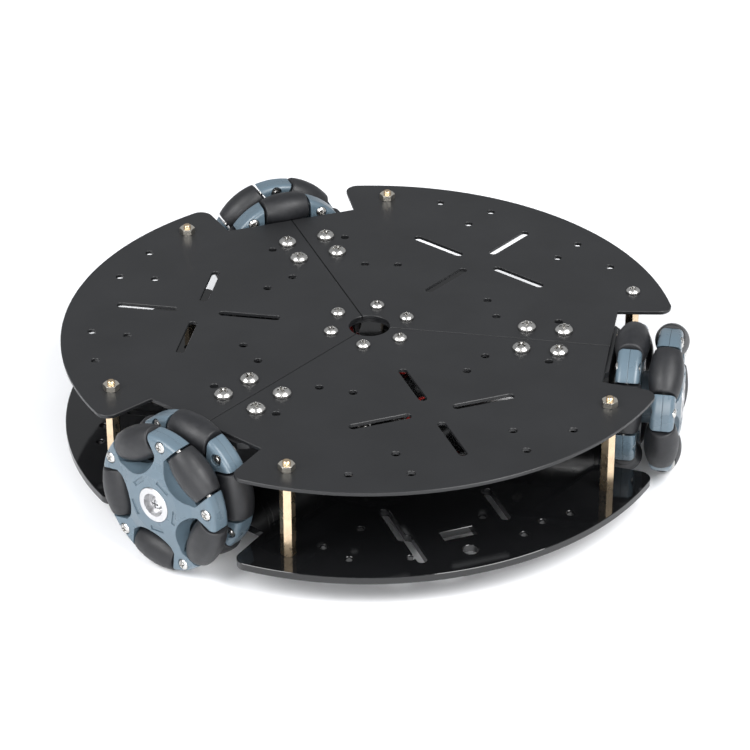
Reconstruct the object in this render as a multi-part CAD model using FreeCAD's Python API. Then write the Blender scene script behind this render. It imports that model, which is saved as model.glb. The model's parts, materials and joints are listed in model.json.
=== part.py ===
import FreeCAD, Part
import math
import os

from FreeCAD import Vector

# Round two-deck robot chassis on three driven omni wheels.
# Units are millimetres. +Z is up. The origin is the centre of the cable hole, in the top
# face of the upper deck. The wheel axes are radial, 120 degrees apart, and the rear wheel's
# axis points along +Y. "Wheel frame" below means X outwards along a wheel's axis and Z up.

X_AXIS = Vector(1, 0, 0)
Y_AXIS = Vector(0, 1, 0)
Z_AXIS = Vector(0, 0, 1)

# Decks
DECK_RADIUS = 120.0
STANDOFF_LENGTH = 35.0
UPPER_TOP = 0.0
UPPER_THICKNESS = 1.5
LOWER_TOP = UPPER_TOP - UPPER_THICKNESS - STANDOFF_LENGTH
LOWER_THICKNESS = 3.0
UPPER_DECK = (UPPER_TOP, UPPER_THICKNESS)
LOWER_DECK = (LOWER_TOP, LOWER_THICKNESS)
SEAM_GAP = 0.3
OVERRUN = 1.0
TOUCH = 0.01
EDGE_BREAK = 0.2
CABLE_HOLE_RADIUS = 8.0
NOTCH_BACK = 94.2
NOTCH_HALF_WIDTH = 27.5
NOTCH_FLARE = 0.15
EAR_RADIUS = 5.0
JOINING_PLATE_RADIUS = 20.0
JOINING_PLATE_THICKNESS = 2.0
JOINING_PLATE_BORE = 9.0

# Hole patterns: (x, y) along and across a wheel axis or a sector's middle line
CENTRE_SCREWS = [(13.4, 8.2), (13.4, -8.2)]
BRACKET_SCREWS = [(60.8, 8.2), (60.8, -8.2), (75.3, 8.2), (75.3, -8.2)]
SPARE_HOLES_BY_WHEEL = [(72.4, 15.6), (72.4, -15.6), (47.8, 15.5), (47.8, -15.5)]
RIM_CIRCLE = 108.0
RIM_HOLE_ANGLES = [-24.0, -12.0, 12.0, 24.0]
STANDOFF_ANGLES = [-36.0, 36.0]
SQUARE_SPACING = 46.0
CROSS_CENTRE = 68.3
SPARE_HOLE_RADIUS = 1.6
CROSS_SLOT_START = 8.3
CROSS_SLOT_END = 32.8
CROSS_SLOT_WIDTH = 3.3
LOWER_SLOT_WIDTH = 3.8
LOWER_SLOTS = [(72.0, 94.5, 20.2), (72.0, 94.5, -21.0), (91.0, 110.2, -19.2)]
LOWER_WINDOW = (94.0, 99.6, -6.8, 6.2)
LOWER_ROUND_HOLE = (108.3, 0.0)
LOWER_ROUND_HOLE_RADIUS = 3.0
LOWER_SPARE_HOLES = [(89.3, 12.4), (100.3, 32.1), (81.2, -33.1), (87.9, -50.2)]

# Fasteners: head radius, head height, shank radius
M3_PAN = (2.75, 1.9, 1.5)
M4_PAN = (3.5, 2.4, 2.0)
SHELL_SCREW = (2.1, 1.3, 1.0)
M3_LENGTH = 6.0
M4_LENGTH = 6.0
TAPPED_PLAY = 0.02
M3_CLEARANCE_RADIUS = 1.6
M4_CLEARANCE_RADIUS = 2.15
M3_NUT_FLATS = 5.5
M3_NUT_HEIGHT = 2.4
STANDOFF_FLATS = 5.0
STUD_LENGTH = 5.2
STANDOFF_BORE_DEPTH = 8.0
SCREW_TURN = 41.0

# Three equal sectors and wheels
SECTORS = {"front": -90.0, "right": 30.0, "left": 150.0}
WHEELS = {"left": -150.0, "right": -30.0, "rear": 90.0}
ARM_PHASE = {"left": 6.8, "right": 1.0, "rear": 1.0}
SCREW_TOPPED_STANDOFF = ("right", -36.0)
STANDOFF_TURNS = [40.0, 10.0, 10.0, 25.0, 52.0, 10.0]
NUT_TURNS = [40.0, 18.0, 0.0, 37.0, 43.0, 40.0]

# Motor brackets, in the wheel frame
AXLE_Z = -21.4
BRACKET_GAUGE = 2.5
BRACKET_INNER_END = 55.0
BRACKET_FACE = 95.5
BRACKET_HALF_WIDTH = 20.0
BRACKET_FACE_HALF_WIDTH = 16.8
BRACKET_BOTTOM = -35.7
BRACKET_CORNER = 9.0
BRACKET_ROUND = 3.0
GUSSET_DEPTH = 24.0
GUSSET_HEIGHT = 25.0

# Gearmotors, in the wheel frame
MOTOR_FACE = BRACKET_FACE - BRACKET_GAUGE
GEARBOX_RADIUS = 12.5
GEARBOX_LENGTH = 21.0
MOTOR_RADIUS = 12.2
MOTOR_LENGTH = 31.0
MOTOR_REAR_ROUND = 1.5
REAR_CAP_RADIUS = 5.0
REAR_CAP_PROUD = 1.5
PLATE_GROOVE = 0.3
PLATE_GROOVE_WIDTH = 0.5
MOTOR_BOSS_RADIUS = 3.5
MOTOR_BOSS_LENGTH = 2.2
MOTOR_SCREW_OFFSET = 8.5
SHAFT_RADIUS = 2.0
SHAFT_PLAY = 0.05
SHAFT_IN_GEARBOX = 10.0
LEAD_BLOCK = (3.5, 6.0, 6.0)
LEAD_EXIT_Y = -6.0

# Motor leads: a twisted pair per motor, lying on the lower deck, in the wheel frame
LEAD_DIAMETER = 2.6
LEAD_ROUTE = [
    (37.5, -6.0, -21.4),
    (27.0, -5.6, -22.3),
    (18.6, -9.0, -29.3),
    (16.4, -18.4, -35.1),
    (22.0, -31.0, -35.1),
    (34.0, -35.2, -35.1),
    (44.6, -32.6, -34.9),
    (54.0, -31.6, -34.2),
]
CONNECTOR = (8.0, 6.0, 4.5)
CONNECTOR_LIFT = 0.02
CONNECTOR_PITCH = 2.8

# Omni wheels, in the wheel frame
WHEEL_RADIUS = 29.4
ROLLER_CIRCLE = 22.7
ROLLER_HALF_LENGTH = 9.3
ROLLER_BORE = 1.06
ROLLER_END_ROUND = 0.8
PIN_RADIUS = 1.0
PIN_HALF_LENGTH = 12.5
POCKET_GAP = 0.9
ROLLERS_PER_DISC = 5
STEP_ANGLE = 360.0 / ROLLERS_PER_DISC
DISC_MIDDLES = {"inner": 102.8, "outer": 117.1}
DISC_WIDTH = 9.2
CROWN_RADIUS = 28.1
CROWN_ROUND = 2.2
DOME_TOP_RADIUS = 12.0
DOME_FOOT_RADIUS = 18.0
DOME_HEIGHT = 1.5
SCOOP_HEIGHT = 6.0
SCOOP_MIDDLE_RADIUS = 10.2
SCOOP_END_RADIUS = 5.0
SHELL_SPLIT = 0.1
SHELL_SCREW_CIRCLE = 25.1
SHELL_HEAD_SINK = 0.7
SHELL_NUT_RECESS = (2.4, 1.9)
SHELL_NUT_FLATS = 3.6
SHELL_NUT_HEIGHT = 1.2
HUB_BOSS_RADIUS = 10.0
DISC_PLAY = 0.05
MARK_SIZE = (0.4, 6.2, 1.7)
MARK_CIRCLE = 10.2
MARK_LAG = 21.6
COUPLING_FLATS = 12.0
COUPLING_PLAY = 0.1
COUPLING_START = 97.9
COUPLING_END = 117.5
SHAFT_END = 107.0
CUP_WASHER_RADIUS = 7.0
CUP_RECESS = (4.6, 3.0)
CUP_PROUD = 0.3
CUP_ROUND = 0.4
CENTRE_SCREW_LENGTH = 9.0


def cylinder(radius, length, base, axis=Z_AXIS):
    return Part.makeCylinder(radius, length, base, axis)


def box(low, high):
    size = [h - l for l, h in zip(low, high)]
    return Part.makeBox(size[0], size[1], size[2], Vector(*low))


def turned(shape, angle, axis=Z_AXIS, centre=Vector(0, 0, 0)):
    copy = shape.copy()
    copy.rotate(centre, axis, angle)
    return copy


def moved(shape, x, y, z):
    copy = shape.copy()
    copy.translate(Vector(x, y, z))
    return copy


def polar(radius, angle):
    return (radius * math.cos(math.radians(angle)), radius * math.sin(math.radians(angle)))


def prism(points, z_low, z_high):
    corners = [Vector(x, y, z_low) for x, y in points]
    outline = Part.makePolygon(corners + corners[:1])
    return Part.Face(outline).extrude(Vector(0, 0, z_high - z_low))


def hexagon_bar(flats, length):
    corner = flats / math.sqrt(3.0)
    return prism([polar(corner, 60.0 * i) for i in range(6)], 0.0, length)


def cornered_hexagon(flats, length, bevel):
    # A hexagon whose corners are turned off at both ends, as on a nut
    corner = flats / math.sqrt(3.0)
    profile = [
        (0.0, 0.0),
        (corner - bevel, 0.0),
        (corner, bevel * 0.6),
        (corner, length - bevel * 0.6),
        (corner - bevel, length),
        (0.0, length),
    ]
    points = [Vector(r, 0, z) for r, z in profile]
    face = Part.Face(Part.makePolygon(points + points[:1]))
    return hexagon_bar(flats, length).common(face.revolve(Vector(0, 0, 0), Z_AXIS, 360))


def pan_screw(size, length):
    # Stands on z = 0 with its head above and its shank below
    head_radius, head_height, shank_radius = size
    rim = head_height * 0.42
    dome_middle = Vector(head_radius * 0.72, 0, head_height * 0.84)
    dome = Part.Arc(Vector(head_radius, 0, rim), dome_middle, Vector(0, 0, head_height)).toShape()
    rest = Part.makePolygon([
        Vector(0, 0, head_height),
        Vector(0, 0, -length),
        Vector(shank_radius * 0.8, 0, -length),
        Vector(shank_radius, 0, -length + shank_radius * 0.3),
        Vector(shank_radius, 0, 0),
        Vector(head_radius * 0.96, 0, 0),
        Vector(head_radius, 0, head_radius * 0.06),
        Vector(head_radius, 0, rim),
    ])
    face = Part.Face(Part.Wire([dome] + rest.Edges))
    screw = face.revolve(Vector(0, 0, 0), Z_AXIS, 360)
    return screw.cut(cross_recess(head_radius, head_height))


def cross_recess(head_radius, head_height):
    reach = head_radius * 0.56
    wing = head_radius * 0.15
    floor = head_height * 0.35
    arm = box((-reach, -wing, floor), (reach, wing, head_height + 1.0))
    point = Part.makeCone(reach * 0.2, reach * 0.62, head_height - floor, Vector(0, 0, floor))
    return arm.fuse(turned(arm, 90)).fuse(point)


def facing_out(shape):
    # Turns a piece made along Z so that its +Z end points along +X
    return turned(shape, 90, Y_AXIS)


def facing_in(shape):
    return turned(shape, -90, Y_AXIS)


def export(node, solids):
    shape = solids[0] if len(solids) == 1 else Part.makeCompound(solids)
    if not shape.isValid():
        print("invalid shape:", node)
    shape.exportStep("parts/" + node + ".step")


def in_wheel_frames(points):
    # Points given in the wheel frame, repeated for every wheel
    found = []
    for psi in WHEELS.values():
        found += [rotated_point(x, y, psi) for x, y in points]
    return found


def in_sector_frames(points):
    found = []
    for middle in SECTORS.values():
        found += [rotated_point(x, y, middle) for x, y in points]
    return found


def rotated_point(x, y, angle):
    c, s = polar(1.0, angle)
    return (c * x - s * y, s * x + c * y)


# ---------------------------------------------------------------- decks

def through(deck):
    # Lowest and highest level of a tool that passes right through a deck
    z_top, thickness = deck
    return z_top - thickness - OVERRUN, z_top + OVERRUN


def slot_tool(x_low, x_high, y, width, deck):
    # A round-ended slot along X
    radius = width / 2
    z_low, z_high = through(deck)
    bar = box((x_low + radius, y - radius, z_low), (x_high - radius, y + radius, z_high))
    centres = [Vector(x, y, z_low) for x in (x_low + radius, x_high - radius)]
    return bar.fuse([cylinder(radius, z_high - z_low, centre) for centre in centres])


def hole_tools(points, radius, deck):
    z_low, z_high = through(deck)
    return [cylinder(radius, z_high - z_low, Vector(x, y, z_low)) for x, y in points]


def notch_tool(deck):
    reach = DECK_RADIUS + 20.0
    wide = NOTCH_HALF_WIDTH + NOTCH_FLARE * (reach - NOTCH_BACK)
    outline = [
        (NOTCH_BACK, -NOTCH_HALF_WIDTH),
        (reach, -wide),
        (reach, wide),
        (NOTCH_BACK, NOTCH_HALF_WIDTH),
    ]
    return prism(outline, *through(deck))


def round_ears(blank):
    # The vertical edges where a notch's side meets the rim
    ears = []
    for edge in blank.Edges:
        ends = [v.Point for v in edge.Vertexes]
        if len(ends) == 2 and abs(ends[0].z - ends[1].z) > TOUCH:
            on_rim = abs(math.hypot(ends[0].x, ends[0].y) - DECK_RADIUS) < TOUCH
            if on_rim and math.hypot(ends[0].x - ends[1].x, ends[0].y - ends[1].y) < TOUCH:
                ears.append(edge)
    return blank.makeFillet(EAR_RADIUS, ears)


def sector_wedge(middle, deck):
    # The 120 degree slice of one deck, short of each seam by half the gap
    apex = SEAM_GAP / 2 / math.sin(math.radians(60.0))
    reach = 2 * DECK_RADIUS
    outline = [(apex, 0.0)]
    for side in (-60.0, 60.0):
        x, y = polar(reach, side)
        outline.append((apex + x, y))
    outline.insert(2, (apex + 2 * reach, 0.0))
    return turned(prism(outline, *through(deck)), middle)


def break_edges(plate):
    # A small bevel round every edge of both faces
    flat = [edge for edge in plate.Edges if edge.BoundBox.ZLength < TOUCH]
    return plate.makeChamfer(EDGE_BREAK, flat)


def deck_sectors(deck, tools):
    z_top, thickness = deck
    blank = cylinder(DECK_RADIUS, thickness, Vector(0, 0, z_top - thickness))
    for psi in WHEELS.values():
        blank = blank.cut(turned(notch_tool(deck), psi))
    blank = round_ears(blank)
    centre = hole_tools([(0.0, 0.0)], CABLE_HOLE_RADIUS, deck)
    blank = blank.cut(centre + tools)
    plates = {}
    for name, middle in SECTORS.items():
        plate = blank.common(sector_wedge(middle, deck)).Solids[0]
        plates[name] = break_edges(plate)
    return plates


def rim_points(angles):
    return [polar(RIM_CIRCLE, angle) for angle in angles]


def upper_deck_tools():
    half = SQUARE_SPACING / 2
    square = [(CROSS_CENTRE + i * half, j * half) for i in (-1, 1) for j in (-1, 1)]
    spare = in_wheel_frames(SPARE_HOLES_BY_WHEEL) + in_sector_frames(square)
    spare += in_sector_frames(rim_points(RIM_HOLE_ANGLES))
    screwed = in_wheel_frames(CENTRE_SCREWS) + in_sector_frames(rim_points(STANDOFF_ANGLES))
    tools = hole_tools(spare, SPARE_HOLE_RADIUS, UPPER_DECK)
    tools += hole_tools(screwed, M3_CLEARANCE_RADIUS, UPPER_DECK)
    tools += hole_tools(in_wheel_frames(BRACKET_SCREWS), M4_CLEARANCE_RADIUS, UPPER_DECK)
    arm = slot_tool(CROSS_SLOT_START, CROSS_SLOT_END, 0.0, CROSS_SLOT_WIDTH, UPPER_DECK)
    for middle in SECTORS.values():
        for quarter in range(4):
            placed = moved(turned(arm, 90 * quarter), CROSS_CENTRE, 0, 0)
            tools.append(turned(placed, middle))
    return tools


def lower_deck_tools():
    spare = in_sector_frames(rim_points(RIM_HOLE_ANGLES) + LOWER_SPARE_HOLES)
    screwed = in_wheel_frames(CENTRE_SCREWS) + in_sector_frames(rim_points(STANDOFF_ANGLES))
    tools = hole_tools(spare, SPARE_HOLE_RADIUS, LOWER_DECK)
    tools += hole_tools(screwed, M3_CLEARANCE_RADIUS, LOWER_DECK)
    round_holes = in_sector_frames([LOWER_ROUND_HOLE])
    tools += hole_tools(round_holes, LOWER_ROUND_HOLE_RADIUS, LOWER_DECK)
    x_low, x_high, y_low, y_high = LOWER_WINDOW
    z_low, z_high = through(LOWER_DECK)
    window = box((x_low, y_low, z_low), (x_high, y_high, z_high))
    plain, stepped, step = [slot_tool(*slot, LOWER_SLOT_WIDTH, LOWER_DECK) for slot in LOWER_SLOTS]
    for middle in SECTORS.values():
        for tool in (window, plain, stepped.fuse(step)):
            tools.append(turned(tool, middle))
    return tools


def joining_plate(deck):
    # Ties the three sectors of one deck together at the centre, from below
    z_top, thickness = deck
    base = Vector(0, 0, z_top - thickness - JOINING_PLATE_THICKNESS)
    plate = cylinder(JOINING_PLATE_RADIUS, JOINING_PLATE_THICKNESS, base)
    plate = plate.cut(cylinder(JOINING_PLATE_BORE, JOINING_PLATE_THICKNESS, base))
    tapped = [
        cylinder(M3_PAN[2] + TAPPED_PLAY, JOINING_PLATE_THICKNESS, Vector(x, y, base.z))
        for x, y in in_wheel_frames(CENTRE_SCREWS)
    ]
    return plate.cut(tapped)


def standoff_places():
    places = []
    for name, middle in SECTORS.items():
        for angle in STANDOFF_ANGLES:
            x, y = polar(RIM_CIRCLE, middle + angle)
            places.append((x, y, (name, angle) == SCREW_TOPPED_STANDOFF))
    return places


def standoff(with_screw):
    # Hexagon pillar between the decks: tapped below, and a stud or a tapped end above
    pillar = cornered_hexagon(STANDOFF_FLATS, STANDOFF_LENGTH, 0.35)
    bore = cylinder(M3_PAN[2] + TAPPED_PLAY, STANDOFF_BORE_DEPTH, Vector(0, 0, 0))
    pillar = pillar.cut(bore)
    if with_screw:
        return pillar.cut(moved(bore, 0, 0, STANDOFF_LENGTH - STANDOFF_BORE_DEPTH))
    stud = cylinder(M3_PAN[2], STUD_LENGTH, Vector(0, 0, STANDOFF_LENGTH))
    tip = [e for e in stud.Edges if e.BoundBox.ZMin > STANDOFF_LENGTH + STUD_LENGTH - 0.01]
    return pillar.fuse(stud.makeChamfer(0.35, tip))


def make_decks():
    for name, plate in deck_sectors(UPPER_DECK, upper_deck_tools()).items():
        export("upper_deck_" + name, [plate])
    for name, plate in deck_sectors(LOWER_DECK, lower_deck_tools()).items():
        export("lower_deck_" + name, [plate])
    export("joining_plates", [joining_plate(UPPER_DECK), joining_plate(LOWER_DECK)])


def make_deck_fasteners():
    nut = cornered_hexagon(M3_NUT_FLATS, M3_NUT_HEIGHT, 0.4)
    nut = nut.cut(cylinder(M3_PAN[2] + TAPPED_PLAY, M3_NUT_HEIGHT, Vector(0, 0, 0)))
    screw = pan_screw(M3_PAN, M3_LENGTH)
    upturned = turned(screw, 180, X_AXIS)
    pillars, nuts, screws = [], [], []
    for i, (x, y, with_screw) in enumerate(standoff_places()):
        pillars.append(moved(turned(standoff(with_screw), STANDOFF_TURNS[i]), x, y, LOWER_TOP))
        under = LOWER_TOP - LOWER_THICKNESS
        screws.append(moved(turned(upturned, SCREW_TURN * i), x, y, under))
        if with_screw:
            screws.append(moved(screw, x, y, UPPER_TOP))
        else:
            nuts.append(moved(turned(nut, NUT_TURNS[i]), x, y, UPPER_TOP))
    for i, (x, y) in enumerate(in_wheel_frames(CENTRE_SCREWS)):
        for level in (UPPER_TOP, LOWER_TOP):
            screws.append(moved(turned(screw, SCREW_TURN * i), x, y, level))
    for psi in WHEELS.values():
        for side in (-1, 1):
            placed = moved(facing_out(screw), BRACKET_FACE, side * MOTOR_SCREW_OFFSET, AXLE_Z)
            screws.append(turned(placed, psi))
    export("standoffs", pillars)
    export("standoff_nuts", nuts)
    export("m3_screws", screws)
    big = pan_screw(M4_PAN, M4_LENGTH)
    places = in_wheel_frames(BRACKET_SCREWS)
    turns = [turned(big, SCREW_TURN * i) for i in range(len(places))]
    export("bracket_screws", [moved(big, x, y, UPPER_TOP) for big, (x, y) in zip(turns, places)])


# ---------------------------------------------------------------- drives

def motor_bracket():
    top = UPPER_TOP - UPPER_THICKNESS
    slant = BRACKET_HALF_WIDTH - BRACKET_FACE_HALF_WIDTH
    outline = [
        (BRACKET_INNER_END, -BRACKET_HALF_WIDTH),
        (BRACKET_FACE - slant, -BRACKET_HALF_WIDTH),
        (BRACKET_FACE, -BRACKET_FACE_HALF_WIDTH),
        (BRACKET_FACE, BRACKET_FACE_HALF_WIDTH),
        (BRACKET_FACE - slant, BRACKET_HALF_WIDTH),
        (BRACKET_INNER_END, BRACKET_HALF_WIDTH),
    ]
    flange = prism(outline, top - BRACKET_GAUGE, top)
    corners = [
        e for e in flange.Edges
        if e.BoundBox.ZLength > 1 and e.BoundBox.XMax < BRACKET_INNER_END + 1
    ]
    flange = flange.makeFillet(BRACKET_ROUND, corners)
    half = BRACKET_FACE_HALF_WIDTH
    face = box((MOTOR_FACE, -half, BRACKET_BOTTOM), (BRACKET_FACE, half, top))
    feet = [
        e for e in face.Edges
        if e.BoundBox.XLength > 1 and e.BoundBox.ZMax < BRACKET_BOTTOM + 1
    ]
    face = face.makeChamfer(BRACKET_CORNER, feet)
    gusset = motor_gusset(top)
    bracket = flange.fuse([face, gusset, gusset.mirror(Vector(0, 0, 0), Y_AXIS)]).removeSplitter()
    holes = [cylinder(MOTOR_BOSS_RADIUS + 0.1, 10, Vector(MOTOR_FACE - 1, 0, AXLE_Z), X_AXIS)]
    for side in (-1, 1):
        centre = Vector(MOTOR_FACE - 1, side * MOTOR_SCREW_OFFSET, AXLE_Z)
        holes.append(cylinder(M3_CLEARANCE_RADIUS, 10, centre, X_AXIS))
    for x, y in BRACKET_SCREWS:
        holes.append(cylinder(M4_PAN[2] + TAPPED_PLAY, 10, Vector(x, y, top - 5)))
    return bracket.cut(holes)


def motor_gusset(top):
    # Triangular side web between the flange and the motor's face plate
    points = [
        Vector(MOTOR_FACE + 0.5, 0, top - 0.5),
        Vector(MOTOR_FACE - GUSSET_DEPTH, 0, top - 0.5),
        Vector(MOTOR_FACE - GUSSET_DEPTH, 0, top - BRACKET_GAUGE - 1.5),
        Vector(MOTOR_FACE - 2.0, 0, top - GUSSET_HEIGHT),
        Vector(MOTOR_FACE + 0.5, 0, top - GUSSET_HEIGHT),
    ]
    web = Part.Face(Part.makePolygon(points + points[:1])).extrude(Vector(0, BRACKET_GAUGE, 0))
    return moved(web, 0, BRACKET_FACE_HALF_WIDTH - BRACKET_GAUGE, 0)


def ring_groove(x, radius):
    start = Vector(x, 0, AXLE_Z)
    outside = cylinder(radius + OVERRUN, PLATE_GROOVE_WIDTH, start, X_AXIS)
    return outside.cut(cylinder(radius - PLATE_GROOVE, PLATE_GROOVE_WIDTH, start, X_AXIS))


def gearmotor():
    # Sealed unit: gearbox in front, motor can behind, lead block on the rear cap
    gearbox_back = MOTOR_FACE - GEARBOX_LENGTH
    motor_back = gearbox_back - MOTOR_LENGTH
    centre = Vector(gearbox_back, 0, AXLE_Z)
    gearbox = cylinder(GEARBOX_RADIUS, GEARBOX_LENGTH, centre, X_AXIS)
    can = cylinder(MOTOR_RADIUS, MOTOR_LENGTH, Vector(motor_back, 0, AXLE_Z), X_AXIS)
    rear = [e for e in can.Edges if e.BoundBox.XMax < motor_back + 0.01]
    can = can.makeFillet(MOTOR_REAR_ROUND, rear)
    boss = cylinder(MOTOR_BOSS_RADIUS, MOTOR_BOSS_LENGTH, Vector(MOTOR_FACE, 0, AXLE_Z), X_AXIS)
    depth, width, height = LEAD_BLOCK
    low = (motor_back - depth, LEAD_EXIT_Y - width / 2, AXLE_Z - height / 2)
    block = box(low, (motor_back + 1.0, LEAD_EXIT_Y + width / 2, AXLE_Z + height / 2))
    cap_start = Vector(motor_back - REAR_CAP_PROUD, 0, AXLE_Z)
    cap = cylinder(REAR_CAP_RADIUS, REAR_CAP_PROUD + 0.5, cap_start, X_AXIS)
    body = gearbox.fuse([can, boss, block, cap]).removeSplitter()
    cuts = [ring_groove(MOTOR_FACE - 2.5, GEARBOX_RADIUS)]
    cuts.append(ring_groove(gearbox_back + 2.0, GEARBOX_RADIUS))
    cuts.append(ring_groove(gearbox_back - 1.0, MOTOR_RADIUS))
    cuts.append(ring_groove(motor_back + 4.5, MOTOR_RADIUS))
    shaft_hole = Vector(MOTOR_FACE - SHAFT_IN_GEARBOX - 0.5, 0, AXLE_Z)
    bore_length = SHAFT_IN_GEARBOX + MOTOR_BOSS_LENGTH + OVERRUN
    cuts.append(cylinder(SHAFT_RADIUS + SHAFT_PLAY, bore_length, shaft_hole, X_AXIS))
    for side in (-1, 1):
        start = Vector(MOTOR_FACE - 4.5, side * MOTOR_SCREW_OFFSET, AXLE_Z)
        cuts.append(cylinder(M3_PAN[2] + TAPPED_PLAY, 5.0, start, X_AXIS))
    return body.cut(cuts)


def rounded_path(points):
    # Straight runs joined by tangent arcs, each arc as large as its two runs allow
    edges = []
    start = points[0]
    for before, corner, after in zip(points, points[1:], points[2:]):
        toward = (before - corner).normalize()
        away = (after - corner).normalize()
        turn = math.pi - toward.getAngle(away)
        run = min((before - corner).Length, (after - corner).Length)
        trim = 0.45 * run
        radius = trim / math.tan(turn / 2)
        inward = (toward + away).normalize()
        first = corner + toward * trim
        last = corner + away * trim
        middle = corner + inward * (math.hypot(radius, trim) - radius)
        edges.append(Part.LineSegment(start, first).toShape())
        edges.append(Part.Arc(first, middle, last).toShape())
        print("lead bend radius %.1f mm, turn %.0f degrees" % (radius, math.degrees(turn)))
        start = last
    edges.append(Part.LineSegment(start, points[-1]).toShape())
    return Part.Wire(edges)


def motor_lead():
    points = [Vector(*p) for p in LEAD_ROUTE]
    path = rounded_path(points)
    direction = points[1] - points[0]
    section = Part.Wire(Part.makeCircle(LEAD_DIAMETER / 2, points[0], direction))
    tube = path.makePipeShell([section], True, False)
    wanted = math.pi * (LEAD_DIAMETER / 2) ** 2 * path.Length
    print("lead length %.1f mm, volume ratio %.4f" % (path.Length, tube.Volume / wanted))
    return tube


def lead_connector():
    # Two-way plug housing on the end of a lead, with a polarising rib and two latches
    length, width, height = CONNECTOR
    x, y, z = LEAD_ROUTE[-1]
    floor = LOWER_TOP + CONNECTOR_LIFT
    roof = floor + height
    end = x + length
    body = box((x, y - width / 2, floor), (end, y + width / 2, roof))
    rib = box((x + 2, y - 0.8, roof), (end, y + 0.8, roof + 0.7))
    body = body.fuse(rib)
    cuts = []
    for side in (-1, 1):
        middle = y + side * CONNECTOR_PITCH / 2
        socket_low = (end - 5, middle - 0.5, floor + 1.7)
        cuts.append(box(socket_low, (end + OVERRUN, middle + 0.5, floor + 2.7)))
        latch_low = (x + 2, middle - 0.6, roof - 0.6)
        cuts.append(box(latch_low, (x + 4.4, middle + 0.6, roof + 0.1)))
    return body.cut(cuts)


def make_drives():
    bracket = motor_bracket()
    motor = gearmotor()
    lead = motor_lead()
    plug = lead_connector()
    for name, psi in WHEELS.items():
        export(name + "_motor_bracket", [turned(bracket, psi)])
        export(name + "_gearmotor", [turned(motor, psi)])
        export(name + "_motor_lead", [turned(lead, psi)])
    export("lead_connectors", [turned(plug, psi) for psi in WHEELS.values()])


# ---------------------------------------------------------------- wheels
# Wheel pieces are made about the X axis and then lifted to the axle's height.

def about_axle(shape, angle):
    # Turns a piece from the top of the wheel towards +Y, about the wheel's axis
    return turned(shape, -angle, X_AXIS)


def barrel(half_length, gap, mid_x):
    # Solid of revolution whose side follows the wheel's rolling circle
    end = math.sqrt(WHEEL_RADIUS ** 2 - half_length ** 2) - ROLLER_CIRCLE + gap
    middle = WHEEL_RADIUS - ROLLER_CIRCLE + gap
    return bulged(half_length, end, middle, mid_x)


def bulged(half_length, end, middle, mid_x):
    # Solid of revolution about a roller's axis, fatter in the middle than at its ends
    side = Part.Arc(Vector(0, -half_length, end), Vector(0, 0, middle), Vector(0, half_length, end))
    rest = Part.makePolygon([
        Vector(0, half_length, end),
        Vector(0, half_length, 0),
        Vector(0, -half_length, 0),
        Vector(0, -half_length, end),
    ])
    face = Part.Face(Part.Wire([side.toShape()] + rest.Edges))
    solid = face.revolve(Vector(0, 0, 0), Y_AXIS, 360)
    return moved(solid, mid_x, 0, ROLLER_CIRCLE)


def roller(mid_x):
    body = barrel(ROLLER_HALF_LENGTH, 0.0, mid_x)
    ends = [e for e in body.Edges if isinstance(e.Curve, Part.Circle) and e.BoundBox.YLength < 0.01]
    body = body.makeFillet(ROLLER_END_ROUND, ends)
    start = Vector(mid_x, -ROLLER_HALF_LENGTH - 1, ROLLER_CIRCLE)
    return body.cut(cylinder(ROLLER_BORE, 2 * ROLLER_HALF_LENGTH + 2, start, Y_AXIS))


def roller_pin(mid_x):
    start = Vector(mid_x, -PIN_HALF_LENGTH, ROLLER_CIRCLE)
    return cylinder(PIN_RADIUS, 2 * PIN_HALF_LENGTH, start, Y_AXIS)


def pocket(mid_x):
    # Room for one roller, open outwards, with the channel for its pin
    half = ROLLER_HALF_LENGTH + POCKET_GAP
    room = barrel(half, POCKET_GAP, mid_x)
    mouth = box((mid_x - 8, -half, ROLLER_CIRCLE), (mid_x + 8, half, WHEEL_RADIUS + 5))
    start = Vector(mid_x, -PIN_HALF_LENGTH - 0.1, ROLLER_CIRCLE)
    channel = cylinder(PIN_RADIUS + TAPPED_PLAY, 2 * PIN_HALF_LENGTH + 0.2, start, Y_AXIS)
    return room.fuse([mouth, channel])


def scoops(mid_x):
    # The bowls that widen a pocket towards both faces of its disc
    half = ROLLER_HALF_LENGTH + POCKET_GAP
    return [
        bulged(half, SCOOP_END_RADIUS, SCOOP_MIDDLE_RADIUS, mid_x + side * SCOOP_HEIGHT)
        for side in (-1, 1)
    ]


def disc_blank(mid_x):
    start = Vector(mid_x - DISC_WIDTH / 2, 0, 0)
    blank = cylinder(CROWN_RADIUS, DISC_WIDTH, start, X_AXIS)
    rims = [e for e in blank.Edges if isinstance(e.Curve, Part.Circle)]
    return blank.makeFillet(CROWN_ROUND, rims)


def disc_body(row):
    # The outer disc has a shallow dome outside, the inner one a boss that spaces the two discs
    disc = disc_blank(DISC_MIDDLES[row])
    outer_face = DISC_MIDDLES[row] + DISC_WIDTH / 2
    if row == "outer":
        foot = Vector(outer_face, 0, 0)
        return disc.fuse(Part.makeCone(DOME_FOOT_RADIUS, DOME_TOP_RADIUS, DOME_HEIGHT, foot, X_AXIS))
    gap = DISC_MIDDLES["outer"] - DISC_MIDDLES["inner"] - DISC_WIDTH - DISC_PLAY
    foot = Vector(outer_face - OVERRUN, 0, 0)
    return disc.fuse(cylinder(HUB_BOSS_RADIUS, gap + OVERRUN, foot, X_AXIS))


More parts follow.
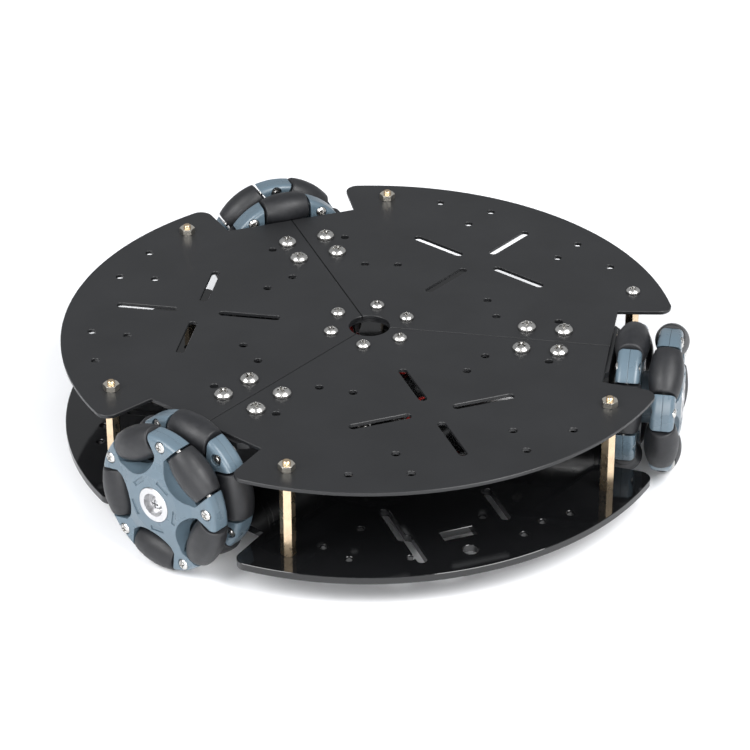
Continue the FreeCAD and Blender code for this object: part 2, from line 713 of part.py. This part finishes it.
def arm_recesses(row):
    # Screw hole, head recess and nut recess of one arm, at the top of the wheel
    mid_x = DISC_MIDDLES[row]
    outward = 1 if row == "outer" else -1
    hole_start = Vector(mid_x - DISC_WIDTH, 0, SHELL_SCREW_CIRCLE)
    hole = cylinder(SHELL_SCREW[2] + SHAFT_PLAY, 2 * DISC_WIDTH, hole_start, X_AXIS)
    radius, depth = SHELL_NUT_RECESS
    sink = cylinder(SHELL_SCREW[0] + 0.2, SHELL_HEAD_SINK + OVERRUN, Vector(0, 0, 0))
    nut_room = cylinder(radius, depth + OVERRUN, Vector(0, 0, 0))
    sink = moved(sink, 0, 0, DISC_WIDTH / 2 - SHELL_HEAD_SINK)
    nut_room = moved(nut_room, 0, 0, -DISC_WIDTH / 2 - OVERRUN)
    tools = [hole]
    for tool in (sink, nut_room):
        aligned = facing_out(tool) if outward > 0 else facing_in(tool)
        tools.append(moved(aligned, mid_x, 0, SHELL_SCREW_CIRCLE))
    return tools


def mark_tool(row):
    # A shallow rectangular mark beside the hub, on the side of the screw heads
    deep, long, wide = MARK_SIZE
    face = DISC_MIDDLES[row] - DISC_WIDTH / 2
    if row == "outer":
        face = DISC_MIDDLES[row] + DISC_WIDTH / 2 + DOME_HEIGHT
    low = (face - deep, -long / 2, MARK_CIRCLE - wide / 2)
    return box(low, (face + deep, long / 2, MARK_CIRCLE + wide / 2))


def disc_shells(row, phase):
    # The two screwed halves of one disc. Its screw heads are on the side away from the other disc.
    mid_x = DISC_MIDDLES[row]
    cuts = []
    for i in range(ROLLERS_PER_DISC):
        arm = phase + STEP_ANGLE * i
        for tool in [pocket(mid_x)] + scoops(mid_x):
            cuts.append(about_axle(tool, arm + STEP_ANGLE / 2))
        cuts += [about_axle(tool, arm) for tool in arm_recesses(row)]
        cuts.append(about_axle(mark_tool(row), arm + MARK_LAG))
    bore = facing_out(hexagon_bar(COUPLING_FLATS + 2 * COUPLING_PLAY, 2 * WHEEL_RADIUS))
    cuts.append(moved(bore, COUPLING_START - WHEEL_RADIUS, 0, 0))
    if row == "outer":
        seat = Vector(COUPLING_END - COUPLING_PLAY, 0, 0)
        cuts.append(cylinder(CUP_WASHER_RADIUS + COUPLING_PLAY, WHEEL_RADIUS, seat, X_AXIS))
    disc = disc_body(row).cut(cuts)
    reach = 2 * WHEEL_RADIUS
    near = box((mid_x - reach, -reach, -reach), (mid_x - SHELL_SPLIT / 2, reach, reach))
    far = box((mid_x + SHELL_SPLIT / 2, -reach, -reach), (mid_x + reach, reach, reach))
    return [disc.common(near), disc.common(far)]


def disc_fasteners(row, phase):
    mid_x = DISC_MIDDLES[row]
    outward = 1 if row == "outer" else -1
    seat = DISC_WIDTH / 2 - SHELL_HEAD_SINK
    length = DISC_WIDTH - SHELL_HEAD_SINK - 0.3
    screw = pan_screw(SHELL_SCREW, length)
    nut = hexagon_bar(SHELL_NUT_FLATS, SHELL_NUT_HEIGHT)
    nut = nut.cut(cylinder(SHELL_SCREW[2] + TAPPED_PLAY, SHELL_NUT_HEIGHT, Vector(0, 0, 0)))
    nut = moved(nut, 0, 0, -DISC_WIDTH / 2 + SHELL_NUT_RECESS[1] - SHELL_NUT_HEIGHT)
    screw = moved(screw, 0, 0, seat)
    pieces = []
    for i in range(ROLLERS_PER_DISC):
        arm = phase + STEP_ANGLE * i
        for piece in (screw, nut):
            spun = turned(piece, SCREW_TURN * i)
            aligned = facing_out(spun) if outward > 0 else facing_in(spun)
            pieces.append(about_axle(moved(aligned, mid_x, 0, SHELL_SCREW_CIRCLE), arm))
        pieces.append(about_axle(roller_pin(mid_x), arm + STEP_ANGLE / 2))
    return pieces


def drive_shaft():
    # Flatted motor shaft, hexagon coupling, cup washer and the screw that holds the wheel
    start = MOTOR_FACE - SHAFT_IN_GEARBOX
    shaft = cylinder(SHAFT_RADIUS, SHAFT_END - start, Vector(start, 0, 0), X_AXIS)
    flat_start = COUPLING_START + 1.0
    shaft = shaft.cut(box((flat_start, -3, SHAFT_RADIUS - 0.5), (SHAFT_END + 1, 3, 3)))
    bar = facing_out(hexagon_bar(COUPLING_FLATS, COUPLING_END - COUPLING_START))
    bar = moved(bar, COUPLING_START, 0, 0)
    bore_length = SHAFT_END - COUPLING_START + 0.2
    bore_start = Vector(COUPLING_START, 0, 0)
    bore = cylinder(SHAFT_RADIUS + TAPPED_PLAY, bore_length, bore_start, X_AXIS)
    cup_face = DISC_MIDDLES["outer"] + DISC_WIDTH / 2 + DOME_HEIGHT + CUP_PROUD
    cup_length = cup_face - COUPLING_END
    head_seat = cup_face - CUP_RECESS[1]
    tapped_start = head_seat - CENTRE_SCREW_LENGTH - 0.5
    tapped_length = COUPLING_END - tapped_start + OVERRUN
    tapped = cylinder(M3_PAN[2] + TAPPED_PLAY, tapped_length, Vector(tapped_start, 0, 0), X_AXIS)
    bar = bar.cut([bore, tapped])
    cup = cylinder(CUP_WASHER_RADIUS, cup_length, Vector(COUPLING_END, 0, 0), X_AXIS)
    front = [e for e in cup.Edges if e.BoundBox.XMin > cup_face - TOUCH]
    cup = cup.makeFillet(CUP_ROUND, front)
    recess = cylinder(CUP_RECESS[0], cup_length, Vector(head_seat, 0, 0), X_AXIS)
    hole = cylinder(M3_CLEARANCE_RADIUS, cup_length, Vector(COUPLING_END - OVERRUN, 0, 0), X_AXIS)
    cup = cup.cut([recess, hole])
    screw = moved(facing_out(pan_screw(M3_PAN, CENTRE_SCREW_LENGTH)), head_seat, 0, 0)
    return [shaft, bar, cup, screw]


def make_wheels():
    for name, psi in WHEELS.items():
        phases = {"outer": ARM_PHASE[name], "inner": ARM_PHASE[name] + STEP_ANGLE / 2}

        def placed(solids):
            return [turned(moved(s, 0, 0, AXLE_Z), psi) for s in solids]

        shells, fasteners = [], []
        for row, phase in phases.items():
            shells += disc_shells(row, phase)
            fasteners += disc_fasteners(row, phase)
            for i in range(ROLLERS_PER_DISC):
                angle = phase + STEP_ANGLE * (i + 0.5)
                node = "%s_%s_roller_%d" % (name, row, i + 1)
                export(node, placed([about_axle(roller(DISC_MIDDLES[row]), angle)]))
        export(name + "_wheel_shells", placed(shells))
        export(name + "_wheel_pins_and_screws", placed(fasteners))
        export(name + "_drive_shaft", placed(drive_shaft()))


os.makedirs("parts", exist_ok=True)
make_decks()
make_deck_fasteners()
make_drives()
make_wheels()
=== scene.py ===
import json
import math

import bpy
from mathutils import Matrix, Vector


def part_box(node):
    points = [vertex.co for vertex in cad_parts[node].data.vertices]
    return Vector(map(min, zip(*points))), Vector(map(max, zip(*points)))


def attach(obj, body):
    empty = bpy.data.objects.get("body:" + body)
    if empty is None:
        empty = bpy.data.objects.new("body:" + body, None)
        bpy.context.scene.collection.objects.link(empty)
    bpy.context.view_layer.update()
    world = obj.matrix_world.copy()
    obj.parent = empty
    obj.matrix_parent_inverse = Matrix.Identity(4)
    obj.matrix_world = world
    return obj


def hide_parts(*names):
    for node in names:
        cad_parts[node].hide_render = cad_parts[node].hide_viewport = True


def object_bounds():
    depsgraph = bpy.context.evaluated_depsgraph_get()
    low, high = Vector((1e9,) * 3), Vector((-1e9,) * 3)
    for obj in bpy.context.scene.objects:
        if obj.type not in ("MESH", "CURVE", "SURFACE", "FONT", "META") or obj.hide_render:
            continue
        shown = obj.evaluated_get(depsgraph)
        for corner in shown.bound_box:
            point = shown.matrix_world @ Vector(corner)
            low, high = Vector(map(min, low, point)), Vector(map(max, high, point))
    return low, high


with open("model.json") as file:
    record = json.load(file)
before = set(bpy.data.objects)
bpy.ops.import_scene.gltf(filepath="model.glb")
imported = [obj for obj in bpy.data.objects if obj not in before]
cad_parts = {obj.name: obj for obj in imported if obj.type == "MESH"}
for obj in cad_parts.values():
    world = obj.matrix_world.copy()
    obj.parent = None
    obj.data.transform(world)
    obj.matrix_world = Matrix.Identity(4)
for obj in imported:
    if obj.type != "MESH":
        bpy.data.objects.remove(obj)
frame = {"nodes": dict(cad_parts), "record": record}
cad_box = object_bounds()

MM = 0.001
nodes = frame["nodes"]
scene = bpy.context.scene

# ---------------------------------------------------------------- places, some worked out from the frame and some given

WHEEL_ANGLES = {"left": -150.0, "right": -30.0, "rear": 90.0}
DECK_RADIUS = -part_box("upper_deck_front")[0].y
FLOOR_Z = cad_box[0].z
STUD_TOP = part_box("standoffs")[1].z
STUD_CIRCLE = 108.0 * MM
# Five of the six standoffs end in a stud and a nut; the one at 354 degrees takes a screw
STUD_ANGLES = (-126.0, -54.0, 66.0, 114.0, 186.0)

# The camera, in deck radii from the centre of the upper deck's top face
CAMERA_AZIMUTH = 19.994
CAMERA_ELEVATION = 30.713
CAMERA_ROLL = -0.184
CAMERA_ASIDE = 0.01775
CAMERA_BACK = 8.4346
CAMERA_UP = 4.8239
CAMERA_LENS = 143.51
SENSOR_WIDTH = 36.0
# In metres
CAMERA_CLIP_END = 20.0


def make_camera():
    azimuth = math.radians(-CAMERA_AZIMUTH)
    elevation = math.radians(CAMERA_ELEVATION)
    roll = math.radians(CAMERA_ROLL)
    aside = Vector((math.cos(azimuth), math.sin(azimuth), 0.0))
    ahead = Vector((-math.sin(azimuth), math.cos(azimuth), 0.0))
    up = ahead * math.sin(elevation) + Vector((0.0, 0.0, math.cos(elevation)))
    back = aside.cross(up)
    right = aside * math.cos(roll) + up * math.sin(roll)
    over = up * math.cos(roll) - aside * math.sin(roll)
    place = aside * CAMERA_ASIDE - ahead * CAMERA_BACK + Vector((0.0, 0.0, CAMERA_UP))
    data = bpy.data.cameras.new("photo_camera")
    data.lens = CAMERA_LENS
    data.sensor_width = SENSOR_WIDTH
    data.clip_end = CAMERA_CLIP_END
    camera = bpy.data.objects.new("photo_camera", data)
    turn = Matrix((right, over, back)).transposed().to_4x4()
    camera.matrix_world = Matrix.Translation(place * DECK_RADIUS) @ turn
    scene.collection.objects.link(camera)
    scene.camera = camera


# ---------------------------------------------------------------- floor and light

FLOOR_COLOR = (0.93, 0.935, 0.95)
# Half of the square floor's side, in metres
FLOOR_REACH = 6.0
WORLD_COLOR = (0.95, 0.97, 1.0, 1)
WORLD_AT_HORIZON = 0.56
WORLD_OVERHEAD = 0.4
# Name, azimuth and elevation in degrees, distance and sides in metres, power in watts
SOFT_BOXES = (
    ("left_box", -165.0, 42.0, 1.3, (0.7, 0.7), 15.0),
    ("right_box", -60.0, 48.0, 1.3, (0.7, 0.7), 18.0),
    ("front_box", -110.0, 17.0, 1.6, (1.1, 0.4), 15.0),
)


def make_floor():
    mesh = bpy.data.meshes.new("studio_floor")
    reach = FLOOR_REACH
    corners = [(-reach, -reach, 0), (reach, -reach, 0), (reach, reach, 0), (-reach, reach, 0)]
    mesh.from_pydata(corners, [], [(0, 1, 2, 3)])
    floor = bpy.data.objects.new("studio_floor", mesh)
    floor.location.z = FLOOR_Z
    scene.collection.objects.link(floor)
    material = Material("floor_white", FLOOR_COLOR, 0.6)
    material.mottle_roughness(3.0, 0.55, 0.65)
    mesh.materials.append(material.data)


def soft_box(name, azimuth, elevation, distance, size, power):
    # A rectangular light that faces the deck's centre
    data = bpy.data.lights.new(name, "AREA")
    data.shape = "RECTANGLE"
    data.size = size[0]
    data.size_y = size[1]
    data.energy = power
    lamp = bpy.data.objects.new(name, data)
    turn, rise = math.radians(azimuth), math.radians(elevation)
    level = distance * math.cos(rise)
    lamp.location = (level * math.cos(turn), level * math.sin(turn), distance * math.sin(rise))
    lamp.rotation_euler = (-lamp.location).to_track_quat("-Z", "Y").to_euler()
    scene.collection.objects.link(lamp)


def make_world():
    # A studio that is a little brighter towards the horizon than overhead
    world = bpy.data.worlds.new("studio")
    world.use_nodes = True
    tree = world.node_tree
    place = tree.nodes.new("ShaderNodeTexCoord").outputs["Generated"]
    split = tree.nodes.new("ShaderNodeSeparateXYZ")
    shade = tree.nodes.new("ShaderNodeMapRange")
    shade.inputs["From Min"].default_value = 0.0
    shade.inputs["From Max"].default_value = 1.0
    shade.inputs["To Min"].default_value = WORLD_AT_HORIZON
    shade.inputs["To Max"].default_value = WORLD_OVERHEAD
    background = tree.nodes["Background"]
    background.inputs["Color"].default_value = WORLD_COLOR
    tree.links.new(place, split.inputs["Vector"])
    tree.links.new(split.outputs["Z"], shade.inputs["Value"])
    tree.links.new(shade.outputs["Result"], background.inputs["Strength"])
    scene.world = world


def make_light():
    make_world()
    for box in SOFT_BOXES:
        soft_box(*box)
    scene.view_settings.view_transform = "Standard"


# ---------------------------------------------------------------- materials

NOISE_ROUGHNESS = 0.55
# The stretch of a noise's range that a mottle spreads over its two ends
ROUGHNESS_SPAN = (0.3, 0.7)
COLOR_SPAN = (0.35, 0.65)
# Depth of the fine surface grain, in metres
SHEET_GRAIN_DEPTH = 0.000012
GLOSS_GRAIN_DEPTH = 0.000001
METAL_GRAIN_DEPTH = 0.00001
PLASTIC_GRAIN_DEPTH = 0.00001
RUBBER_GRAIN_DEPTH = 0.00002
# Radius that edges are shaded with, in mm
SHEET_EDGE = 0.08
METAL_EDGE = 0.12
PLASTIC_EDGE = 0.1
# Black sheet is slightly blue: green and blue as multiples of red
SHEET_TINT = (1.0, 1.04, 1.14)


class Material:
    """A Principled material whose textures are worked out from the object's own coordinates."""

    def __init__(self, name, color, roughness, metallic=0.0, specular=0.5):
        self.data = bpy.data.materials.new(name)
        self.data.use_nodes = True
        self.tree = self.data.node_tree
        self.shader = self.tree.nodes["Principled BSDF"]
        self.shader.inputs["Base Color"].default_value = (*color, 1.0)
        self.shader.inputs["Roughness"].default_value = roughness
        self.shader.inputs["Metallic"].default_value = metallic
        self.shader.inputs["Specular IOR Level"].default_value = specular
        self.place = self.tree.nodes.new("ShaderNodeTexCoord").outputs["Object"]
        self.normal = None

    def link(self, start, end):
        self.tree.links.new(start, end)

    def noise(self, scale, detail=3.0, stretch=None):
        node = self.tree.nodes.new("ShaderNodeTexNoise")
        node.inputs["Scale"].default_value = scale
        node.inputs["Detail"].default_value = detail
        node.inputs["Roughness"].default_value = NOISE_ROUGHNESS
        place = self.place
        if stretch is not None:
            mapping = self.tree.nodes.new("ShaderNodeMapping")
            mapping.inputs["Scale"].default_value = stretch
            self.link(place, mapping.inputs["Vector"])
            place = mapping.outputs["Vector"]
        self.link(place, node.inputs["Vector"])
        return node.outputs["Fac"]

    def between(self, factor, low, high, span):
        node = self.tree.nodes.new("ShaderNodeMapRange")
        node.inputs["From Min"].default_value = span[0]
        node.inputs["From Max"].default_value = span[1]
        node.inputs["To Min"].default_value = low
        node.inputs["To Max"].default_value = high
        self.link(factor, node.inputs["Value"])
        return node.outputs["Result"]

    def mottle_roughness(self, scale, low, high):
        factor = self.between(self.noise(scale), low, high, ROUGHNESS_SPAN)
        self.link(factor, self.shader.inputs["Roughness"])

    def mottle_color(self, scale, first, second):
        mix = self.tree.nodes.new("ShaderNodeMix")
        mix.data_type = "RGBA"
        mix.inputs["A"].default_value = (*first, 1.0)
        mix.inputs["B"].default_value = (*second, 1.0)
        factor = self.between(self.noise(scale), 0.0, 1.0, COLOR_SPAN)
        self.link(factor, mix.inputs["Factor"])
        self.link(mix.outputs["Result"], self.shader.inputs["Base Color"])

    def bump(self, height, depth):
        node = self.tree.nodes.new("ShaderNodeBump")
        node.inputs["Distance"].default_value = depth
        self.link(height, node.inputs["Height"])
        if self.normal is not None:
            self.link(self.normal, node.inputs["Normal"])
        self.normal = node.outputs["Normal"]
        self.link(self.normal, self.shader.inputs["Normal"])

    def soften(self, radius_mm):
        # Edges shaded as if rounded by this radius
        node = self.tree.nodes.new("ShaderNodeBevel")
        node.inputs["Radius"].default_value = radius_mm * MM
        self.normal = node.outputs["Normal"]
        self.link(self.normal, self.shader.inputs["Normal"])


def sheet_color(level):
    return tuple(level * tint for tint in SHEET_TINT)


def coated_sheet(name, base, roughness, specular, grain_depth=SHEET_GRAIN_DEPTH):
    # Black sheet: even, slightly grainy, with faint uneven patches and eased edges
    made = Material(name, sheet_color(base), roughness, specular=specular)
    made.mottle_color(28.0, sheet_color(base * 0.9), sheet_color(base * 1.15))
    made.mottle_roughness(45.0, roughness * 0.9, roughness * 1.12)
    made.soften(SHEET_EDGE)
    made.bump(made.noise(5200.0, 2.0), grain_depth)
    return made.data


def brushed_metal(name, color, roughness, scale=1500.0, stretch=(1.0, 1.0, 1.0)):
    made = Material(name, color, roughness, metallic=1.0)
    made.mottle_color(220.0, color, tuple(c * 0.85 for c in color))
    made.mottle_roughness(160.0, roughness - 0.05, roughness + 0.08)
    made.soften(METAL_EDGE)
    made.bump(made.noise(scale, 3.0, stretch), METAL_GRAIN_DEPTH)
    return made.data


def moulded_plastic(name, color, roughness, round_edge=PLASTIC_EDGE):
    made = Material(name, color, roughness)
    made.mottle_color(60.0, color, tuple(c * 0.9 for c in color))
    made.mottle_roughness(110.0, roughness - 0.06, roughness + 0.06)
    made.soften(round_edge)
    made.bump(made.noise(2600.0, 2.0), PLASTIC_GRAIN_DEPTH)
    return made.data


def roller_rubber():
    made = Material("roller_rubber", (0.011, 0.0115, 0.0135), 0.48, specular=0.42)
    made.mottle_color(420.0, (0.0095, 0.01, 0.0115), (0.013, 0.0135, 0.0155))
    made.mottle_roughness(300.0, 0.42, 0.54)
    made.bump(made.noise(3800.0, 4.0), RUBBER_GRAIN_DEPTH)
    return made.data


def make_materials():
    return {
        "upper_deck": coated_sheet("upper_deck_coating", 0.0098, 0.4, 0.38),
        "lower_deck": coated_sheet("lower_deck_gloss", 0.005, 0.06, 0.5, GLOSS_GRAIN_DEPTH),
        "bracket_steel": coated_sheet("black_bracket_steel", 0.011, 0.36, 0.5),
        "brass": brushed_metal("bright_brass", (0.68, 0.53, 0.36), 0.26, 900.0, (1.0, 1.0, 0.05)),
        "nickel_plate": brushed_metal("nickel_plate", (0.72, 0.68, 0.6), 0.3),
        "stainless": brushed_metal("stainless_steel", (0.58, 0.57, 0.55), 0.27),
        "coupling_steel": brushed_metal("turned_aluminium", (0.6, 0.6, 0.61), 0.34),
        "motor_steel": brushed_metal("motor_steel", (0.42, 0.42, 0.42), 0.32, 1200.0),
        "lead_insulation": moulded_plastic("lead_red", (0.5, 0.02, 0.015), 0.42),
        "connector_nylon": moulded_plastic("connector_nylon", (0.8, 0.79, 0.74), 0.4, round_edge=0.2),
        "hub_plastic": moulded_plastic("hub_plastic", (0.088, 0.127, 0.158), 0.3, round_edge=0.4),
        "roller_rubber": roller_rubber(),
    }


def paint_nodes(materials):
    for part in frame["record"]["subparts"]:
        mesh = nodes[part["node"]].data
        mesh.materials.clear()
        mesh.materials.append(materials[part["material_slot"]])


# ---------------------------------------------------------------- motor leads

# The same route as the lead's own, in a frame with X outwards along the wheel's axis
LEAD_ROUTE = [
    (37.5, -6.0, -21.4),
    (27.0, -5.6, -22.3),
    (18.6, -9.0, -29.3),
    (16.4, -18.4, -35.1),
    (22.0, -31.0, -35.1),
    (34.0, -35.2, -35.1),
    (44.6, -32.6, -34.9),
    (54.0, -31.6, -34.2),
]
# Of the pair, across both strands
STRAND_RADIUS = 0.64 * MM
TWIST_PITCH = 11.0 * MM
# In radians, at the motor's end
TWIST_STARTS = {"left": 0.0, "right": 2.2, "rear": 1.0}
STRAND_SIDES = 10
ROUTE_STEPS = 24


def lead_centreline(name, angle):
    # Points along the spline that the route's points control
    curve = bpy.data.curves.new(name + "_route", "CURVE")
    curve.dimensions = "3D"
    curve.resolution_u = ROUTE_STEPS
    spline = curve.splines.new("NURBS")
    spline.points.add(len(LEAD_ROUTE) - 1)
    turn = Matrix.Rotation(math.radians(angle), 3, "Z")
    for point, place in zip(spline.points, LEAD_ROUTE):
        point.co = (*(turn @ (Vector(place) * MM)), 1.0)
    spline.order_u = 3
    spline.use_endpoint_u = True
    carrier = bpy.data.objects.new(name + "_route", curve)
    scene.collection.objects.link(carrier)
    line = bpy.data.meshes.new_from_object(carrier)
    points = [vertex.co.copy() for vertex in line.vertices]
    bpy.data.objects.remove(carrier)
    bpy.data.meshes.remove(line)
    return points


def along(points):
    # Distance from the first point to each of them
    distances = [0.0]
    for first, second in zip(points, points[1:]):
        distances.append(distances[-1] + (second - first).length)
    return distances


def strand(points, distances, start_angle):
    # Rings of points round one strand of the twisted pair, and the faces between them
    corners, faces = [], []
    side = Vector((0.0, 0.0, 1.0))
    for i, (point, distance) in enumerate(zip(points, distances)):
        ahead = (points[min(i + 1, len(points) - 1)] - points[max(i - 1, 0)]).normalized()
        side = (side - ahead * side.dot(ahead)).normalized()
        other = ahead.cross(side)
        twist = start_angle + 2.0 * math.pi * distance / TWIST_PITCH
        middle = point + (side * math.cos(twist) + other * math.sin(twist)) * STRAND_RADIUS
        for j in range(STRAND_SIDES):
            around = 2.0 * math.pi * j / STRAND_SIDES
            spoke = side * math.cos(around) + other * math.sin(around)
            corners.append(middle + spoke * STRAND_RADIUS)
    for i in range(len(points) - 1):
        for j in range(STRAND_SIDES):
            k = (j + 1) % STRAND_SIDES
            low, high = i * STRAND_SIDES, (i + 1) * STRAND_SIDES
            faces.append((low + j, low + k, high + k, high + j))
    last = (len(points) - 1) * STRAND_SIDES
    faces.append(tuple(reversed(range(STRAND_SIDES))))
    faces.append(tuple(range(last, last + STRAND_SIDES)))
    return corners, faces


def make_lead(wheel, angle, red, black):
    name = wheel + "_lead_pair"
    points = lead_centreline(name, angle)
    distances = along(points)
    corners, faces, slots = [], [], []
    first_twist = TWIST_STARTS[wheel]
    for index, start_angle in enumerate((first_twist, first_twist + math.pi)):
        more_corners, more_faces = strand(points, distances, start_angle)
        base = len(corners)
        corners += more_corners
        faces += [tuple(base + corner for corner in face) for face in more_faces]
        slots += [index] * len(more_faces)
    mesh = bpy.data.meshes.new(name)
    mesh.from_pydata(corners, [], faces)
    mesh.materials.append(red)
    mesh.materials.append(black)
    for face, index in zip(mesh.polygons, slots):
        face.material_index = index
        face.use_smooth = True
    pair = bpy.data.objects.new(name, mesh)
    scene.collection.objects.link(pair)
    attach(pair, "chassis")
    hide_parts(wheel + "_motor_lead")
    return pair, points, distances[-1]


def make_leads(materials):
    black = moulded_plastic("lead_black", (0.012, 0.012, 0.013), 0.4)
    for wheel, angle in WHEEL_ANGLES.items():
        pair, points, length = make_lead(wheel, angle, materials["lead_insulation"], black)


# ---------------------------------------------------------------- stud threads

THREAD_PITCH = 0.5 * MM
THREAD_LENGTH = 1.2 * MM
THREAD_ROOT = 1.46 * MM
THREAD_CREST = 1.56 * MM
# From the crest to each side of the ridge, along the stud
THREAD_FLANK = 0.2 * MM
# From the end of the ridge to the stud's top
THREAD_TIP_GAP = 0.3 * MM
# To a turn
THREAD_STEPS = 36


def make_threads(material):
    # A helical ridge round each stud's tip, above its nut
    corners, faces = [], []
    profile = ((THREAD_ROOT, -THREAD_FLANK), (THREAD_CREST, 0.0), (THREAD_ROOT, THREAD_FLANK))
    steps = int(THREAD_STEPS * THREAD_LENGTH / THREAD_PITCH)
    for angle in STUD_ANGLES:
        turn = math.radians(angle)
        x, y = STUD_CIRCLE * math.cos(turn), STUD_CIRCLE * math.sin(turn)
        base = len(corners)
        for step in range(steps + 1):
            around = 2.0 * math.pi * step / THREAD_STEPS
            z = STUD_TOP - THREAD_LENGTH - THREAD_TIP_GAP + THREAD_PITCH * step / THREAD_STEPS
            for radius, rise in profile:
                across = (x + radius * math.cos(around), y + radius * math.sin(around))
                corners.append((*across, z + rise))
        for step in range(steps):
            low, high = base + 3 * step, base + 3 * (step + 1)
            faces.append((low, high, high + 1, low + 1))
            faces.append((low + 1, high + 1, high + 2, low + 2))
    mesh = bpy.data.meshes.new("stud_threads")
    mesh.from_pydata(corners, [], faces)
    mesh.materials.append(material)
    threads = bpy.data.objects.new("stud_threads", mesh)
    scene.collection.objects.link(threads)
    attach(threads, "chassis")


make_camera()
make_floor()
make_light()
materials = make_materials()
paint_nodes(materials)
make_leads(materials)
make_threads(materials["brass"])
